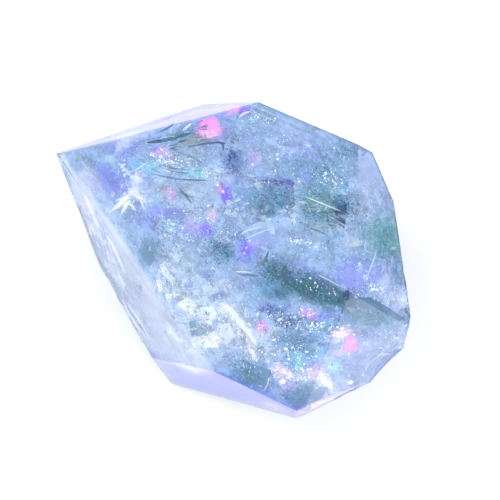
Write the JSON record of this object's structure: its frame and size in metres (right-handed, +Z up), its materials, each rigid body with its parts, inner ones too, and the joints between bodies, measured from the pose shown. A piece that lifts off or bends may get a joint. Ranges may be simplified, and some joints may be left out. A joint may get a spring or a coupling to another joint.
{
  "type": "herkimer diamond quartz crystal",
  "caption": "Clear doubly terminated Herkimer quartz crystal, about 23 mm, resting on a flat face, with fractures and clouds inside.",
  "frame": {"origin": "bottom centre of the crystal's box, on the surface that it rests on", "axes": "+Z up out of the large crown face, +X towards the broken knobbly end, -X towards the sharp tip"},
  "size_m": [0.0234, 0.0208, 0.0126],
  "materials": {
    "quartz": "clear vitreous crystal faces, pale blue to lilac in the body, with grey-green clouds, bright fractures and pink glints inside"
  },
  "bodies": {
    "root": {"quartz_crystal": "quartz"}
  },
  "joints": []
}
